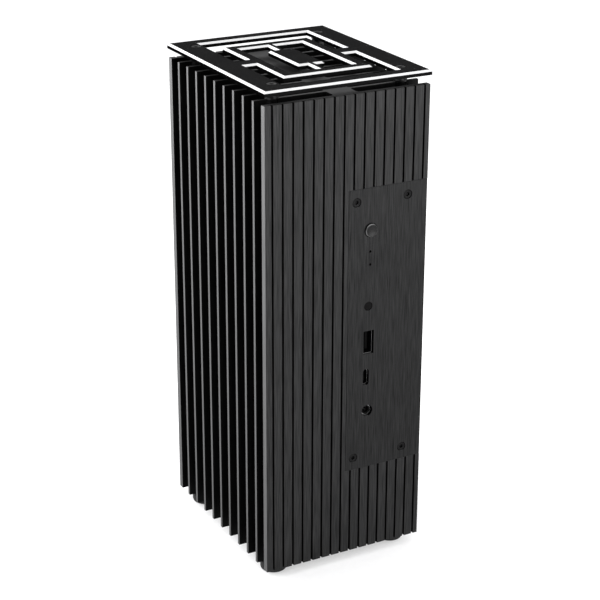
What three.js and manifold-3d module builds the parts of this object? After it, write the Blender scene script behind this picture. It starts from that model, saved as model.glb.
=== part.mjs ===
// A fanless tower computer: a tall finned aluminium heatsink with a flush port plate in front and
// behind, a pierced lid held clear of the fins on spacers, and a mainboard upright in its right half.
// Millimetres. X runs along the front face to the right, Y to the back, Z up.
// The origin is the centre of the footprint, on the surface that the feet stand on.
import * as THREE from "three";
import { mergeVertices } from "three/addons/utils/BufferGeometryUtils.js";
import Module from "manifold-3d";

const wasm = await Module();
wasm.setup();

// ---- driving dimensions ------------------------------------------------------------------------------
const WIDTH = 95;
const DEPTH = 113.5;
const FOOT_HEIGHT = 5.9;
const BODY_HEIGHT = 259.8;
const SPACER_HEIGHT = 4.8;
const LID_THICKNESS = 2.8;
const LID_CHAMFER = 1;
const LID_OVERHANG = { x: 0.4, y: 0.8 };

const PANEL_THICKNESS = 3.7;
const FIN_THICKNESS = 2;
const FIN_PITCH = 11;
const FIN_COUNT = 9;
const SPINE_WIDTH = 13.8;
const ROOT_RADIUS = 1.5;

const GROOVE_COUNT = 16;
const GROOVE_PITCH = 5.848;
const GROOVE_FIRST = 4.1;
const GROOVE_WIDTH = 1.1;
const GROOVE_DEPTH = 1.4;

const BOSS_X = 37;
const BOSS_Y = 4 * FIN_PITCH;
const BOSS_RADIUS = 3.5;

const BAY_BOTTOM = 55.5;
const BAY_TOP = 215.4;
const PORT_PLATE_LEFT = 0.4;
const PORT_PLATE_THICKNESS = 3.4;
const SEAM = 0.15;
const COVER_INNER = 33.2;
const COVER_THICKNESS = 5;

const BOARD_SIZE = 101.6;
const BOARD_FACE = 10.1;
const BOARD_THICKNESS = 1.6;
const BOARD_MIDDLE = 131.6;
const BOARD_HOLE_INSET = 3;
const BOARD_POST_RADIUS = 3;

const BUTTON_PLACE = { x: 13.9, z: 192.3 };
const BUTTON_RADIUS = 3.65;
const BUTTON_PROUD = 1.2;

// Radii of the holes: tapped for M3 and M4 machine screws, and clear of an M3 one.
const TAPPED_M3 = 1.4;
const TAPPED_M4 = 1.6;
const CLEAR_M3 = 1.6;

const TOUCH_GAP = 0.1;
const FIT_GAP = 0.3;
const OVERCUT = 1;

// ---- heights and faces worked out from them ----------------------------------------------------------
const FRONT = -DEPTH / 2;
const RIGHT = WIDTH / 2;
const SPINE_FACE = SPINE_WIDTH / 2;
const BODY_TOP = FOOT_HEIGHT + BODY_HEIGHT;
const LID_BOTTOM = BODY_TOP + SPACER_HEIGHT;
const LID_TOP = LID_BOTTOM + LID_THICKNESS;
const PLATE_INSIDE = FRONT + PORT_PLATE_THICKNESS;
const PORT_SCREW_X = [5.2, COVER_INNER + COVER_THICKNESS / 2];
const PORT_SCREW_Z = [BAY_BOTTOM + 7.1, BAY_TOP - 7];
const PORT_HOLE_DEPTH = 9;
const BOARD_BACK = BOARD_FACE - BOARD_THICKNESS;
const BOARD_HOLE = BOARD_SIZE / 2 - BOARD_HOLE_INSET;

// ---- materials ---------------------------------------------------------------------------------------
const finish = (color, roughness, metalness) => ({ color, roughness, metalness });
const FINISHES = {
  black_anodised: finish(0x3a3a3b, 0.42, 0.85),
  black_lid: finish(0x2a2a2b, 0.5, 0.7),
  black_steel: finish(0x1a1a1b, 0.35, 0.9),
  steel: finish(0xb4b6b8, 0.3, 1),
  rubber: finish(0x141414, 0.85, 0),
  black_plastic: finish(0x161617, 0.55, 0),
  smoked_plastic: finish(0x0a0608, 0.12, 0),
  clear_plastic: finish(0xcfd3d6, 0.2, 0),
  board_green: finish(0x12291c, 0.5, 0.1),
  silicon: finish(0x2c2f33, 0.2, 0.4),
};

const group = new THREE.Group();

function addPart(name, finishName, solid) {
  const mesh = new THREE.Mesh(toGeometry(solid), new THREE.MeshStandardMaterial(FINISHES[finishName]));
  mesh.name = name;
  group.add(mesh);
}

// ---- solids from three.js geometries, joined and cut by manifold -------------------------------------
function toSolid(geometry) {
  const bare = geometry.index ? geometry.toNonIndexed() : geometry.clone();
  bare.deleteAttribute("normal");
  bare.deleteAttribute("uv");
  const merged = mergeVertices(bare, 1e-4);
  const mesh = new wasm.Mesh({
    numProp: 3,
    vertProperties: new Float32Array(merged.attributes.position.array),
    triVerts: new Uint32Array(merged.index.array),
  });
  mesh.merge();
  return new wasm.Manifold(mesh);
}

function toGeometry(solid) {
  const mesh = solid.getMesh();
  const geometry = new THREE.BufferGeometry();
  geometry.setAttribute("position", new THREE.BufferAttribute(mesh.vertProperties, 3));
  geometry.setIndex(new THREE.BufferAttribute(mesh.triVerts, 1));
  geometry.computeVertexNormals();
  return geometry;
}

function box(x0, x1, y0, y1, z0, z1) {
  const geometry = new THREE.BoxGeometry(x1 - x0, y1 - y0, z1 - z0);
  geometry.translate((x0 + x1) / 2, (y0 + y1) / 2, (z0 + z1) / 2);
  return toSolid(geometry);
}

// A round bar along one axis, from one end to the other.
function bar(axis, a, b, radius, from, to, sides = 20) {
  const geometry = new THREE.CylinderGeometry(radius, radius, to - from, sides);
  const middle = (from + to) / 2;
  if (axis === "z") {
    geometry.rotateX(Math.PI / 2);
    geometry.translate(a, b, middle);
  } else if (axis === "y") {
    geometry.translate(a, middle, b);
  } else {
    geometry.rotateZ(Math.PI / 2);
    geometry.translate(middle, a, b);
  }
  return toSolid(geometry);
}

// A turned piece about +Z, from a profile of [radius, height] that runs from its foot upwards.
function turned(profile, sides = 20) {
  const points = profile.map(([radius, height]) => new THREE.Vector2(radius, height));
  const geometry = new THREE.LatheGeometry(points, sides);
  geometry.rotateX(Math.PI / 2);
  return toSolid(geometry);
}

function prism(shape, z0, z1, curveSegments = 3) {
  const geometry = new THREE.ExtrudeGeometry(shape, { depth: z1 - z0, bevelEnabled: false, curveSegments });
  geometry.translate(0, 0, z0);
  return toSolid(geometry);
}

function join(solids) {
  return solids.reduce((whole, piece) => whole.add(piece));
}

function cut(solid, tools) {
  return tools.reduce((left, tool) => left.subtract(tool), solid);
}

function fourCorners(x, y) {
  return [[-x, -y], [x, -y], [-x, y], [x, y]];
}

// Turns a piece that was drawn for the front so that it serves the back, keeping its X and Z.
function mirrorToBack(solid) {
  return solid.mirror([0, 1, 0]);
}

// ---- heatsink body -----------------------------------------------------------------------------------
const grooveCentres = Array.from(
  { length: GROOVE_COUNT },
  (_, index) => -RIGHT + GROOVE_FIRST + index * GROOVE_PITCH,
);
const finCentres = Array.from(
  { length: FIN_COUNT },
  (_, index) => (index - (FIN_COUNT - 1) / 2) * FIN_PITCH,
);

// The gaps between the plates of the stack, from the front panel to the back panel.
function finGaps() {
  const starts = [FRONT + PANEL_THICKNESS, ...finCentres.map((y) => y + FIN_THICKNESS / 2)];
  const ends = [...finCentres.map((y) => y - FIN_THICKNESS / 2), -FRONT - PANEL_THICKNESS];
  return starts.map((start, index) => [start, ends[index]]);
}

function grooveAcross(shape, y, inward, centres, side) {
  for (const centre of centres) {
    shape.lineTo(centre - side * GROOVE_WIDTH / 2, y);
    shape.lineTo(centre - side * GROOVE_WIDTH / 2, y + inward * GROOVE_DEPTH);
    shape.lineTo(centre + side * GROOVE_WIDTH / 2, y + inward * GROOVE_DEPTH);
    shape.lineTo(centre + side * GROOVE_WIDTH / 2, y);
  }
}

// Steps in and out of the fin gaps along one side; side is 1 on the right and -1 on the left.
function combAlong(shape, gaps, side) {
  const root = side * SPINE_FACE;
  const tip = side * RIGHT;
  for (const [start, end] of gaps) {
    const travel = Math.sign(end - start);
    shape.lineTo(tip, start);
    shape.lineTo(root + side * ROOT_RADIUS, start);
    shape.quadraticCurveTo(root, start, root, start + travel * ROOT_RADIUS);
    shape.lineTo(root, end - travel * ROOT_RADIUS);
    shape.quadraticCurveTo(root, end, root + side * ROOT_RADIUS, end);
    shape.lineTo(tip, end);
  }
}

function heatsinkOutline() {
  const gaps = finGaps();
  const gapsBackwards = gaps.map(([start, end]) => [end, start]).reverse();
  const shape = new THREE.Shape();
  shape.moveTo(-RIGHT, FRONT);
  grooveAcross(shape, FRONT, 1, grooveCentres, 1);
  shape.lineTo(RIGHT, FRONT);
  combAlong(shape, gaps, 1);
  shape.lineTo(RIGHT, -FRONT);
  grooveAcross(shape, -FRONT, -1, [...grooveCentres].reverse(), -1);
  shape.lineTo(-RIGHT, -FRONT);
  combAlong(shape, gapsBackwards, -1);
  return shape;
}

// The right half is milled out between two heights for the mainboard, with a rebate at each end of
// the spine where the port plates lie flush.
function bayTools() {
  const bay = box(SPINE_FACE, RIGHT + OVERCUT, FRONT - OVERCUT, -FRONT + OVERCUT, BAY_BOTTOM, BAY_TOP);
  const rebate = box(
    PORT_PLATE_LEFT, SPINE_FACE + OVERCUT, FRONT - OVERCUT, FRONT + PANEL_THICKNESS, BAY_BOTTOM, BAY_TOP,
  );
  return [bay, rebate, mirrorToBack(rebate)];
}

// Clearance in the spine for the low parts on the board's cooled side, around the processor's pad.
function spineRecess() {
  const depth = 2.5;
  const halfWidth = 41;
  const halfHeight = 43.5;
  const padHalfWidth = 26;
  const padHalfHeight = 17;
  const recess = box(
    SPINE_FACE - depth, SPINE_FACE + OVERCUT, -halfWidth, halfWidth,
    BOARD_MIDDLE - halfHeight, BOARD_MIDDLE + halfHeight,
  );
  const pad = box(
    0, SPINE_FACE + 2 * OVERCUT, -padHalfWidth, padHalfWidth,
    BOARD_MIDDLE - padHalfHeight, BOARD_MIDDLE + padHalfHeight,
  );
  return recess.subtract(pad);
}

function boardPosts() {
  return fourCorners(BOARD_HOLE, BOARD_HOLE).map(([y, up]) =>
    bar("x", y, BOARD_MIDDLE + up, BOARD_POST_RADIUS, SPINE_FACE - OVERCUT, BOARD_BACK - TOUCH_GAP, 16));
}

function heatsinkHoles() {
  const endDepth = 13;
  const boardHoleEnd = 1;
  const holes = [];
  for (const [x, y] of fourCorners(BOSS_X, BOSS_Y)) {
    holes.push(bar("z", x, y, TAPPED_M4, FOOT_HEIGHT - OVERCUT, FOOT_HEIGHT + endDepth, 12));
    holes.push(bar("z", x, y, TAPPED_M4, BODY_TOP - endDepth, BODY_TOP + OVERCUT, 12));
  }
  for (const z of PORT_SCREW_Z) {
    const hole = bar("y", PORT_SCREW_X[0], z, TAPPED_M3, FRONT, PLATE_INSIDE + PORT_HOLE_DEPTH, 12);
    holes.push(hole, mirrorToBack(hole));
  }
  for (const [y, up] of fourCorners(BOARD_HOLE, BOARD_HOLE)) {
    holes.push(bar("x", y, BOARD_MIDDLE + up, TAPPED_M3, boardHoleEnd, BOARD_BACK + OVERCUT, 12));
  }
  return holes;
}

function heatsinkBody() {
  const bosses = fourCorners(BOSS_X, BOSS_Y).map(([x, y]) =>
    bar("z", x, y, BOSS_RADIUS, FOOT_HEIGHT, BODY_TOP, 24));
  const extrusion = join([prism(heatsinkOutline(), FOOT_HEIGHT, BODY_TOP, 2), ...bosses]);
  const milled = cut(extrusion, [...bayTools(), spineRecess()]);
  return cut(join([milled, ...boardPosts()]), heatsinkHoles());
}

// ---- side cover --------------------------------------------------------------------------------------
// A finned wall that closes the bay, held at its front and back edges by the port plates' screws.
function sideCover() {
  const edge = PLATE_INSIDE + TOUCH_GAP;
  const bottom = BAY_BOTTOM + FIT_GAP;
  const top = BAY_TOP - FIT_GAP;
  const fins = finCentres.map((y) => box(
    COVER_INNER + COVER_THICKNESS - OVERCUT, RIGHT,
    y - FIN_THICKNESS / 2, y + FIN_THICKNESS / 2, bottom, top,
  ));
  const wall = box(COVER_INNER, COVER_INNER + COVER_THICKNESS, edge, -edge, bottom, top);
  const holes = PORT_SCREW_Z.flatMap((z) => {
    const hole = bar("y", PORT_SCREW_X[1], z, TAPPED_M3, FRONT, PLATE_INSIDE + PORT_HOLE_DEPTH, 12);
    return [hole, mirrorToBack(hole)];
  });
  return cut(join([wall, ...fins]), holes);
}

// ---- countersunk screws ------------------------------------------------------------------------------
// A countersunk screw that points down -Z from its head at height 0, with a hexagon socket.
function countersunkScrew(headRadius, shankRadius, length) {
  const cone = headRadius - shankRadius;
  const body = turned([
    [0, -length], [shankRadius, -length], [shankRadius, -cone], [headRadius, -0.1], [headRadius, 0], [0, 0],
  ], 12);
  return body.subtract(bar("z", 0, 0, headRadius * 0.45, -cone * 0.9, OVERCUT, 6));
}

function countersinkTool(headRadius, holeRadius, depth) {
  const cone = headRadius - holeRadius;
  return turned([
    [0, -depth], [holeRadius, -depth], [holeRadius, -cone],
    [headRadius, 0], [headRadius, OVERCUT], [0, OVERCUT],
  ], 16);
}

const PORT_SCREW = { head: 2.3, shank: 1.2, length: 9, sunk: 0.3 };
const LID_SCREW = { head: 2.6, shank: 1.4, length: 17, sunk: 0.2 };

// Lays a piece drawn about -Z into the front face, so that it points along +Y.
function intoFront(solid, x, z, sunk) {
  return solid.rotate([-90, 0, 0]).mirror([0, 1, 0]).translate([x, FRONT + sunk, z]);
}

function portScrewPlaces() {
  return PORT_SCREW_X.flatMap((x) => PORT_SCREW_Z.map((z) => [x, z]));
}

// ---- port plates -------------------------------------------------------------------------------------
function blankPortPlate() {
  const plate = box(
    PORT_PLATE_LEFT + SEAM, RIGHT - SEAM, FRONT, PLATE_INSIDE, BAY_BOTTOM + SEAM, BAY_TOP - SEAM,
  );
  const sink = countersinkTool(PORT_SCREW.head + FIT_GAP, PORT_SCREW.shank + FIT_GAP, 6);
  const sinks = portScrewPlaces().map(([x, z]) => intoFront(sink, x, z, PORT_SCREW.sunk));
  return cut(plate, sinks);
}

function slotShape(width, height, x, z) {
  const radius = width / 2;
  const straight = height / 2 - radius;
  const shape = new THREE.Shape();
  shape.absarc(x, z + straight, radius, 0, Math.PI, false);
  shape.absarc(x, z - straight, radius, Math.PI, 2 * Math.PI, false);
  shape.closePath();
  return shape;
}

// A prism that runs along +Y between two depths, from a shape drawn in X and Z.
function alongY(shape, y0, y1, curveSegments = 5) {
  const geometry = new THREE.ExtrudeGeometry(shape, { depth: y1 - y0, bevelEnabled: false, curveSegments });
  geometry.rotateX(Math.PI / 2);
  geometry.translate(0, y1, 0);
  return toSolid(geometry);
}

const FRONT_USB_A = { x: 13.6, z: 129.1 };
const FRONT_USB_C = { x: 12.3, z: 109.25 };
const AUDIO = { x: 13.4, z: 89.3 };
const INFRARED = { x: 13.1, z: 150 };
const LIGHT_PIPES = [{ x: 13.65, z: 180.5 }, { x: 13.65, z: 173.3 }];
const BUTTON_STUDS = [-7.6, 7.6];

function frontPortPlate() {
  const front = FRONT - OVERCUT;
  const inside = PLATE_INSIDE + OVERCUT;
  const openings = [
    box(FRONT_USB_A.x - 3.1, FRONT_USB_A.x + 3.1, front, inside, FRONT_USB_A.z - 6.8, FRONT_USB_A.z + 6.8),
    alongY(slotShape(3.7, 9.5, FRONT_USB_C.x, FRONT_USB_C.z), front, inside),
    bar("y", AUDIO.x, AUDIO.z, 3.3, front, inside, 20),
    bar("y", INFRARED.x, INFRARED.z, 2.5, front, inside, 20),
    bar("y", BUTTON_PLACE.x, BUTTON_PLACE.z, BUTTON_RADIUS + 0.2, front, inside, 24),
    ...LIGHT_PIPES.map(({ x, z }) => bar("y", x, z, 0.75, front, inside, 12)),
  ];
  const studs = BUTTON_STUDS.map((up) =>
    bar("y", BUTTON_PLACE.x, BUTTON_PLACE.z + up, 2, PLATE_INSIDE - OVERCUT, SWITCH_BOARD_Y - TOUCH_GAP, 14));
  const studHoles = BUTTON_STUDS.map((up) =>
    bar("y", BUTTON_PLACE.x, BUTTON_PLACE.z + up, 1.15, PLATE_INSIDE, SWITCH_BOARD_Y + OVERCUT, 10));
  return cut(join([cut(blankPortPlate(), openings), ...studs]), studHoles);
}

const DC_INLET = { x: 14.8, z: 92 };
const HDMI = { x: 13.1, z: 107.5 };
const LAN = { x: 17.1, z: 125.5 };
const REAR_USB_A = { x: 17.9, z: 144.5 };
const REAR_USB_C = { x: 12.3, z: 160 };
const AERIAL_PLUGS = [{ x: 26, z: 74 }, { x: 26, z: 197 }];

function rearPortPlate() {
  const front = FRONT - OVERCUT;
  const inside = PLATE_INSIDE + OVERCUT;
  const openings = [
    bar("y", DC_INLET.x, DC_INLET.z, 4.3, front, inside, 20),
    box(HDMI.x - 2.95, HDMI.x + 2.95, front, inside, HDMI.z - 7.75, HDMI.z + 7.75),
    box(LAN.x - 7, LAN.x + 7, front, inside, LAN.z - 8.25, LAN.z + 8.25),
    box(REAR_USB_A.x - 7.8, REAR_USB_A.x + 7.8, front, inside, REAR_USB_A.z - 6.9, REAR_USB_A.z + 6.9),
    alongY(slotShape(3.7, 9.5, REAR_USB_C.x, REAR_USB_C.z), front, inside),
    ...AERIAL_PLUGS.map(({ x, z }) => bar("y", x, z, 3.3, front, inside, 20)),
  ];
  return mirrorToBack(cut(blankPortPlate(), openings));
}

// ---- power button and its switch ---------------------------------------------------------------------
const SWITCH_BOARD_Y = -44.9;
const BUTTON_FLANGE_RADIUS = 4.7;

function powerButton() {
  const flangeFront = PLATE_INSIDE + 0.15;
  const { x, z } = BUTTON_PLACE;
  const cap = bar("y", x, z, BUTTON_RADIUS, FRONT - BUTTON_PROUD + 0.35, flangeFront + OVERCUT, 24);
  const crown = bar("y", x, z, BUTTON_RADIUS - 0.35, FRONT - BUTTON_PROUD, flangeFront, 24);
  const flange = bar("y", x, z, BUTTON_FLANGE_RADIUS, flangeFront, flangeFront + 1, 16);
  const stem = bar("y", x, z, 1.5, flangeFront, -50.6, 14);
  return join([cap, crown, flange, stem]);
}

function switchPlunger() {
  return bar("y", BUTTON_PLACE.x, BUTTON_PLACE.z, 1.6, -50.5, -48.9, 14);
}

function switchBody() {
  const { x, z } = BUTTON_PLACE;
  const well = bar("y", x, z, 1.8, -52, -47.9, 14);
  return box(x - 3, x + 3, -49.4, SWITCH_BOARD_Y - TOUCH_GAP, z - 3, z + 3).subtract(well);
}

function switchBoard() {
  const { x, z } = BUTTON_PLACE;
  const board = box(x - 6, x + 6, SWITCH_BOARD_Y, SWITCH_BOARD_Y + 1.2, z - 9.8, z + 9.8);
  const header = box(x - 3, x + 3, SWITCH_BOARD_Y + 1, SWITCH_BOARD_Y + 5, z - 2, z + 2);
  const holes = BUTTON_STUDS.map((up) =>
    bar("y", x, z + up, 1.3, SWITCH_BOARD_Y - OVERCUT, SWITCH_BOARD_Y + 2, 10));
  return cut(join([board, header]), holes);
}

function switchBoardScrew(up) {
  const profile = [[0, 0], [0.95, 0], [0.95, 4.6], [1.9, 4.6], [1.9, 5.6], [0, 5.6]];
  const screw = turned(profile, 12).rotate([-90, 0, 0]);
  return screw.translate([BUTTON_PLACE.x, SWITCH_BOARD_Y + 1.3 - 4.6, BUTTON_PLACE.z + up]);
}

// ---- sockets -----------------------------------------------------------------------------------------
// Each socket is drawn opening towards -Y, with its mouth a little behind the plate's outer face.
const MOUTH_DEPTH = 1.5;
const MOUTH = FRONT + MOUTH_DEPTH;

function usbASocket({ x, z }) {
  const back = MOUTH + 14;
  const shell = box(x - 2.85, x + 2.85, MOUTH, back, z - 6.55, z + 6.55);
  const mouth = box(x - 2.5, x + 2.5, MOUTH - OVERCUT, back - 1.6, z - 6.2, z + 6.2);
  const tongue = box(x + 0.1, x + 1.9, MOUTH + 0.8, back - 1, z - 5.5, z + 5.5);
  return shell.subtract(mouth).add(tongue);
}

function usbCSocket({ x, z }) {
  const back = MOUTH + 8.5;
  const shell = alongY(slotShape(3.2, 8.94, x, z), MOUTH, back);
  const mouth = alongY(slotShape(2.6, 8.34, x, z), MOUTH - OVERCUT, back - 1.5);
  const tongue = box(x - 0.35, x + 0.35, MOUTH + 1, back - 1, z - 3.3, z + 3.3);
  return shell.subtract(mouth).add(tongue);
}

function audioSocket({ x, z }) {
  const nose = bar("y", x, z, 3, MOUTH, FRONT + 7.5, 20);
  const body = box(BOARD_FACE + TOUCH_GAP, x + 3.3, FRONT + 6.5, FRONT + 18, z - 2.95, z + 3.2);
  return join([nose, body]).subtract(bar("y", x, z, 1.8, MOUTH - OVERCUT, FRONT + 15, 18));
}

function dcInlet({ x, z }) {
  const nose = bar("y", x, z, 4, MOUTH, FRONT + 5, 20);
  const body = box(BOARD_FACE + TOUCH_GAP, x + 4.6, FRONT + 4.2, FRONT + 17, z - 4.6, z + 4.6);
  const well = bar("y", x, z, 3.1, MOUTH - OVERCUT, FRONT + 13, 20);
  const pin = bar("y", x, z, 1, MOUTH + 1.5, FRONT + 14, 10);
  return join([nose, body]).subtract(well).add(pin);
}

function hdmiOutline(x, z, grow) {
  const shape = new THREE.Shape();
  shape.moveTo(x - 2.2 - grow, z - 5.4 - grow);
  shape.lineTo(x - 2.2 - grow, z + 5.4 + grow);
  shape.lineTo(x + 0.4, z + 6.95 + grow);
  shape.lineTo(x + 2.2 + grow, z + 6.95 + grow);
  shape.lineTo(x + 2.2 + grow, z - 6.95 - grow);
  shape.lineTo(x + 0.4, z - 6.95 - grow);
  shape.closePath();
  return shape;
}

function hdmiSocket({ x, z }) {
  const back = MOUTH + 11;
  const shell = alongY(hdmiOutline(x, z, 0.35), MOUTH, back);
  const mouth = alongY(hdmiOutline(x, z, 0), MOUTH - OVERCUT, back - 1.5);
  const tongue = box(x - 0.4, x + 0.7, MOUTH + 1, back - 1, z - 5, z + 5);
  return shell.subtract(mouth).add(tongue);
}

function lanSocket({ x, z }) {
  const back = MOUTH + 16;
  const shell = box(x - 6.8, x + 6.8, MOUTH, back, z - 8, z + 8);
  const mouth = box(x - 5.2, x + 2.8, MOUTH - OVERCUT, MOUTH + 13, z - 5.95, z + 5.95);
  const latch = box(x + 2, x + 5.4, MOUTH - OVERCUT, MOUTH + 10, z - 3.1, z + 3.1);
  return cut(shell, [mouth, latch]);
}

function usbAStack({ x, z }) {
  const back = MOUTH + 15;
  let stack = box(x - 7.5, x + 7.5, MOUTH, back, z - 6.6, z + 6.6);
  for (const level of [-4, 4]) {
    stack = stack.subtract(
      box(x + level - 2.5, x + level + 2.5, MOUTH - OVERCUT, back - 2, z - 6.2, z + 6.2));
    stack = stack.add(box(x + level + 0.1, x + level + 1.9, MOUTH + 0.8, back - 1, z - 5.5, z + 5.5));
  }
  return stack;
}

// ---- small pieces in the port plates -----------------------------------------------------------------
function infraredWindow() {
  const face = bar("y", INFRARED.x, INFRARED.z, 2.35, FRONT + 0.15, PLATE_INSIDE + 1, 20);
  const rim = bar("y", INFRARED.x, INFRARED.z, 3, PLATE_INSIDE + TOUCH_GAP, PLATE_INSIDE + 1, 16);
  return face.add(rim);
}

function infraredReceiver() {
  const { x, z } = INFRARED;
  const body = box(BOARD_FACE + TOUCH_GAP, x + 2.6, -50.4, -47, z - 2.6, z + 2.6);
  return body.add(bar("y", x, z, 1.4, -51.6, -50, 14));
}

function lightPipe({ x, z }) {
  const rod = bar("y", x, z, 0.55, FRONT + 0.1, PLATE_INSIDE + 1.5, 10);
  return rod.add(bar("y", x, z, 1.2, PLATE_INSIDE + TOUCH_GAP, PLATE_INSIDE + 0.8, 10));
}

function aerialPlug({ x, z }) {
  const cap = bar("y", x, z, 4.4, FRONT - BUTTON_PROUD, FRONT - TOUCH_GAP, 20);
  const stem = bar("y", x, z, 3, FRONT - 0.5, PLATE_INSIDE + 1.5, 20);
  return mirrorToBack(cap.add(stem));
}

// ---- lid, spacers, screws and feet -------------------------------------------------------------------
const LID_FRAME = { x: 33.85, y: 49.8 };
const LID_RING_OUTER = { x: 24.6, y: 34.1 };
const LID_RING_INNER = { x: 19.8, y: 29.3 };
const LID_ISLAND = { x: 6.55, y: 15.9 };
const LID_BRIDGE = 4.1;
const LID_STRAP = 1.1;

function polygon(points) {
  return new THREE.Shape(points.map(([x, y]) => new THREE.Vector2(x, y)));
}

// The slot around one half of the ring: side is 1 at the back and -1 at the front.
function outerSlot(side) {
  return polygon([
    [-LID_FRAME.x, side * LID_BRIDGE], [-LID_FRAME.x, side * LID_FRAME.y],
    [LID_FRAME.x, side * LID_FRAME.y], [LID_FRAME.x, side * LID_BRIDGE],
    [LID_RING_OUTER.x, side * LID_BRIDGE], [LID_RING_OUTER.x, side * LID_RING_OUTER.y],
    [-LID_RING_OUTER.x, side * LID_RING_OUTER.y], [-LID_RING_OUTER.x, side * LID_BRIDGE],
  ]);
}

// The C-shaped slot beside the island: side is 1 on the right and -1 on the left.
function innerSlot(side) {
  return polygon([
    [side * LID_STRAP, -LID_RING_INNER.y], [side * LID_RING_INNER.x, -LID_RING_INNER.y],
    [side * LID_RING_INNER.x, LID_RING_INNER.y], [side * LID_STRAP, LID_RING_INNER.y],
    [side * LID_STRAP, LID_ISLAND.y], [side * LID_ISLAND.x, LID_ISLAND.y],
    [side * LID_ISLAND.x, -LID_ISLAND.y], [side * LID_STRAP, -LID_ISLAND.y],
  ]);
}

// A block with its upper outline as drawn, which spreads by the given step over the chamfer's height.
function chamferedBlock(shape, spread, depth) {
  const geometry = new THREE.ExtrudeGeometry(shape, {
    depth,
    bevelEnabled: true,
    bevelThickness: LID_CHAMFER,
    bevelSize: spread,
    bevelSegments: 1,
  });
  geometry.translate(0, 0, LID_TOP - depth - LID_CHAMFER);
  return toSolid(geometry);
}

// Every upper edge of the lid, outside and around the slots, carries the same 45 degree chamfer.
function lid() {
  const halfWidth = RIGHT + LID_OVERHANG.x;
  const halfDepth = -FRONT + LID_OVERHANG.y;
  const x = halfWidth - LID_CHAMFER;
  const y = halfDepth - LID_CHAMFER;
  const block = chamferedBlock(polygon([[-x, -y], [x, -y], [x, y], [-x, y]]), LID_CHAMFER, LID_THICKNESS);
  const slab = box(-halfWidth, halfWidth, -halfDepth, halfDepth, LID_BOTTOM, LID_TOP);
  const slots = [outerSlot(1), outerSlot(-1), innerSlot(1), innerSlot(-1)].map((slot) =>
    chamferedBlock(slot, -LID_CHAMFER, 2 * LID_THICKNESS));
  const sinks = fourCorners(BOSS_X, BOSS_Y).map(([sx, sy]) =>
    countersinkTool(LID_SCREW.head + FIT_GAP, LID_SCREW.shank + FIT_GAP, 6)
      .translate([sx, sy, LID_TOP - LID_SCREW.sunk]));
  return cut(block.intersect(slab), [...slots, ...sinks]);
}

function spacer(x, y) {
  const tube = bar("z", x, y, BOSS_RADIUS, BODY_TOP + TOUCH_GAP, LID_BOTTOM - TOUCH_GAP, 20);
  return tube.subtract(bar("z", x, y, 1.75, BODY_TOP - OVERCUT, LID_BOTTOM + OVERCUT, 14));
}

function foot(x, y) {
  const top = FOOT_HEIGHT - TOUCH_GAP;
  return turned([
    [3.4, 0], [6.1, 0], [7, 0.5], [7.4, 1.6], [7.4, top], [1.8, top], [1.8, 3.2], [3.4, 3.2], [3.4, 0],
  ], 20).translate([x, y, 0]);
}

function footScrew(x, y) {
  const seat = 3.1;
  const body = turned([
    [0, seat - 2], [2.9, seat - 2], [2.9, seat], [1.4, seat], [1.4, seat + 11], [0, seat + 11],
  ], 12);
  return body.subtract(bar("z", 0, 0, 1.2, seat - 3, seat - 0.9, 6)).translate([x, y, 0]);
}

// ---- mainboard and what it carries -------------------------------------------------------------------
// How far a piece that is soldered or moulded on reaches into what carries it.
const ROOTED = 0.5;
const CHOKES = { places: [-13, -4, 5, 14], size: 6.6, height: 2.6, bottom: 152 };
// The button and light header, the drive's power header, and the solid state drive's connector.
const HEADERS = [
  { y: [-32, -20], z: [174.5, 178.5], height: 6 },
  { y: [26, 36], z: [174, 180], height: 4 },
  { y: [9, 31], z: [88, 93], height: 3.4 },
];

function mainboard() {
  const half = BOARD_SIZE / 2;
  const board = box(BOARD_BACK, BOARD_FACE, -half, half, BOARD_MIDDLE - half, BOARD_MIDDLE + half);
  const chokes = CHOKES.places.map((y) => box(
    BOARD_BACK - CHOKES.height, BOARD_BACK + ROOTED, y - CHOKES.size / 2, y + CHOKES.size / 2,
    CHOKES.bottom, CHOKES.bottom + CHOKES.size,
  ));
  const headers = HEADERS.map(({ y, z, height }) =>
    box(BOARD_FACE - ROOTED, BOARD_FACE + height, y[0], y[1], z[0], z[1]));
  const holes = fourCorners(BOARD_HOLE, BOARD_HOLE).map(([y, up]) =>
    bar("x", y, BOARD_MIDDLE + up, CLEAR_M3, BOARD_BACK - OVERCUT, BOARD_FACE + OVERCUT, 12));
  return cut(join([board, ...chokes, ...headers]), holes);
}

function processor() {
  const back = BOARD_BACK - TOUCH_GAP;
  const front = back - 0.8;
  const chipFront = back - 1.3;
  const carrier = box(front, back, -22.7, 22.7, BOARD_MIDDLE - 12.5, BOARD_MIDDLE + 12.5);
  const die = box(chipFront, back - ROOTED, -10, 4, BOARD_MIDDLE - 5, BOARD_MIDDLE + 5);
  const hub = box(chipFront, back - ROOTED, 8, 17, BOARD_MIDDLE - 4.5, BOARD_MIDDLE + 4.5);
  return join([carrier, die, hub]);
}

const MEMORY_LEVELS = [BOARD_FACE + 4, BOARD_FACE + 8];
const MEMORY = { thickness: 1.2, bottom: 97, length: 69.6, edge: 1.5, width: 30 };
const MEMORY_CHIP = { first: 100, pitch: 16.5, length: 12, near: -22, far: -12, proud: 0.9 };
const DRIVE = { level: BOARD_FACE + 2.4, thickness: 0.8, bottom: 93.4, top: 170, near: 9.5, far: 31.5 };
const DRIVE_CHIP = { first: 103, pitch: 22, length: 17, near: 12, far: 29, proud: 1.4 };

// Flat chips in a row up a card, whose face is at the given level.
function chipRow(count, face, { first, pitch, length, near, far, proud }) {
  return Array.from({ length: count }, (_, index) => {
    const bottom = first + index * pitch;
    return box(face - 0.2, face + proud, near, far, bottom, bottom + length);
  });
}

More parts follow.
